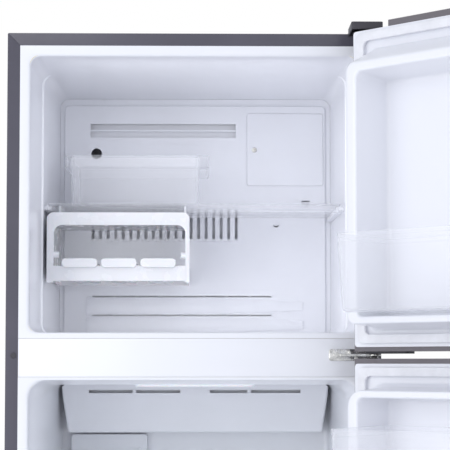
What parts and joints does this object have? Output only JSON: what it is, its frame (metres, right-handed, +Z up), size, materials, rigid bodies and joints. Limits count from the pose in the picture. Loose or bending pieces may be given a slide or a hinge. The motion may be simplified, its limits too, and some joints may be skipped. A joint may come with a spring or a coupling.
{
  "type": "top freezer refrigerator",
  "caption": "Upright household refrigerator with a separate freezer on top, hinged insulated doors, sliding shelves, a drawer and a twist ice maker.",
  "frame": {"origin": "on the floor under the middle of the cabinet, between the front feet and the rear rollers", "axes": "+Z up; -Y towards the person who opens the doors; +X towards the hinge side"},
  "size_m": [1.2031, 1.229, 1.749],
  "materials": {
    "dark_paint": "satin painted steel",
    "door_cap_grey": "satin moulded plastic",
    "dark_plastic": "fine-textured plastic",
    "galvanised": "spangled zinc coat",
    "bright_zinc": "bright zinc plate",
    "lining_white": "glossy thermoformed sheet",
    "panel_white": "satin moulded plastic",
    "ice_white": "glossy moulded plastic",
    "clear_plastic": "clear moulded plastic",
    "shelf_glass": "tempered glass",
    "shelf_edge": "moulded edge strip",
    "seal_white": "soft white vinyl",
    "foam": "rigid insulating foam",
    "fin_aluminium": "bare fin stock",
    "black_enamel": "black enamel",
    "black_rubber": "moulded rubber",
    "copper_pipe": "bare copper",
    "lamp_white": "translucent diffuser",
    "grey_plastic": "moulded plastic"
  },
  "bodies": {
    "cabinet": {"cabinet_shell": "dark_paint", "cabinet_back": "galvanised", "base_plate": "galvanised", "freezer_liner": "lining_white", "fridge_liner": "lining_white", "mullion_cover": "lining_white", "insulation_foam": "foam", "top_hinge": "bright_zinc", "middle_hinge": "bright_zinc", "bottom_hinge": "bright_zinc", "top_hinge_cover": "dark_plastic", "screws": "bright_zinc", "hinge_hole_plug": "dark_plastic", "freezer_back_cover": "panel_white", "freezer_access_cover": "panel_white", "evaporator": "fin_aluminium", "fan_motor": "grey_plastic", "fridge_air_duct": "panel_white", "fridge_control_cover": "panel_white", "fridge_lamp_cover": "lamp_white", "crisper_cover": "shelf_glass", "crisper_cover_edge": "shelf_edge", "compressor": "black_enamel", "compressor_mounts": "black_rubber", "drip_pan": "grey_plastic", "filter_drier": "copper_pipe", "rear_cover": "galvanised", "mains_gland": "dark_plastic"},
    "evaporator_fan": {"evaporator_fan": "grey_plastic"},
    "temperature_knob": {"temperature_knob": "panel_white"},
    "left_levelling_foot": {"left_levelling_foot": "dark_plastic"},
    "right_levelling_foot": {"right_levelling_foot": "dark_plastic"},
    "left_roller": {"left_roller": "dark_plastic"},
    "right_roller": {"right_roller": "dark_plastic"},
    "freezer_shelf": {"freezer_shelf": "clear_plastic", "freezer_shelf_edge": "clear_plastic", "ice_maker_frame": "ice_white"},
    "ice_storage_tray": {"ice_storage_tray": "clear_plastic"},
    "ice_tray_1": {"ice_tray_1": "ice_white"},
    "ice_tray_2": {"ice_tray_2": "ice_white"},
    "ice_tray_3": {"ice_tray_3": "ice_white"},
    "upper_shelf": {"upper_shelf": "shelf_glass", "upper_shelf_edge": "shelf_edge"},
    "middle_shelf": {"middle_shelf": "shelf_glass", "middle_shelf_edge": "shelf_edge"},
    "crisper_drawer": {"crisper_drawer": "clear_plastic"},
    "freezer_door": {"freezer_door_liner": "lining_white", "freezer_door_skin": "dark_paint", "freezer_door_end_caps": "door_cap_grey", "freezer_door_foam": "foam", "freezer_door_gasket": "seal_white", "freezer_door_bin": "clear_plastic", "freezer_door_stop": "dark_plastic"},
    "fridge_door": {"fridge_door_liner": "lining_white", "fridge_door_skin": "dark_paint", "fridge_door_end_caps": "door_cap_grey", "fridge_door_foam": "foam", "fridge_door_gasket": "seal_white", "fridge_door_bins": "clear_plastic", "fridge_bottle_bin": "clear_plastic"}
  },
  "joints": [
    {"name": "freezer_door_hinge", "type": "hinge", "parent": "cabinet", "child": "freezer_door", "pos_m": [0.331, -0.359, 1.441], "axis": [0, 0, 1], "range_deg": [-139, 4]},
    {"name": "fridge_door_hinge", "type": "hinge", "parent": "cabinet", "child": "fridge_door", "pos_m": [0.331, -0.359, 0.587], "axis": [0, 0, 1], "range_deg": [-139, 4]},
    {"name": "freezer_shelf_slide", "type": "slide", "parent": "cabinet", "child": "freezer_shelf", "axis": [0, -1, 0], "range_m": [0, 0.12]},
    {"name": "ice_storage_tray_slide", "type": "slide", "parent": "freezer_shelf", "child": "ice_storage_tray", "axis": [0, -1, 0], "range_m": [0, 0.1]},
    {"name": "ice_tray_1_twist", "type": "hinge", "parent": "freezer_shelf", "child": "ice_tray_1", "pos_m": [-0.228, -0.019, 1.3186], "axis": [0, 1, 0], "range_deg": [0, 120], "stiffness_Nm_per_rad": 0.12},
    {"name": "ice_tray_2_twist", "type": "hinge", "parent": "freezer_shelf", "child": "ice_tray_2", "pos_m": [-0.1501, -0.019, 1.3186], "axis": [0, 1, 0], "range_deg": [0, 120], "stiffness_Nm_per_rad": 0.12},
    {"name": "ice_tray_3_twist", "type": "hinge", "parent": "freezer_shelf", "child": "ice_tray_3", "pos_m": [-0.0722, -0.019, 1.3186], "axis": [0, 1, 0], "range_deg": [0, 120], "stiffness_Nm_per_rad": 0.12},
    {"name": "upper_shelf_slide", "type": "slide", "parent": "cabinet", "child": "upper_shelf", "axis": [0, -1, 0], "range_m": [0, 0.15]},
    {"name": "middle_shelf_slide", "type": "slide", "parent": "cabinet", "child": "middle_shelf", "axis": [0, -1, 0], "range_m": [0, 0.15]},
    {"name": "crisper_drawer_slide", "type": "slide", "parent": "cabinet", "child": "crisper_drawer", "axis": [0, -1, 0], "range_m": [0, 0.28]},
    {"name": "temperature_knob_turn", "type": "hinge", "parent": "cabinet", "child": "temperature_knob", "pos_m": [-0.19, 0.186, 0.87], "axis": [0, -1, 0], "range_deg": [-135, 135]},
    {"name": "evaporator_fan_spin", "type": "hinge", "parent": "cabinet", "child": "evaporator_fan", "pos_m": [-0.06, 0.186, 1.545], "axis": [0, 1, 0], "continuous": true},
    {"name": "left_roller_spin", "type": "hinge", "parent": "cabinet", "child": "left_roller", "pos_m": [-0.3, 0.27, 0.018], "axis": [1, 0, 0], "continuous": true},
    {"name": "right_roller_spin", "type": "hinge", "parent": "cabinet", "child": "right_roller", "pos_m": [0.3, 0.27, 0.018], "axis": [1, 0, 0], "continuous": true},
    {"name": "left_foot_screw", "type": "hinge", "parent": "cabinet", "child": "left_levelling_foot", "pos_m": [-0.265, -0.28, 0.02], "axis": [0, 0, 1], "continuous": true},
    {"name": "right_foot_screw", "type": "hinge", "parent": "cabinet", "child": "right_levelling_foot", "pos_m": [0.265, -0.28, 0.02], "axis": [0, 0, 1], "continuous": true}
  ]
}
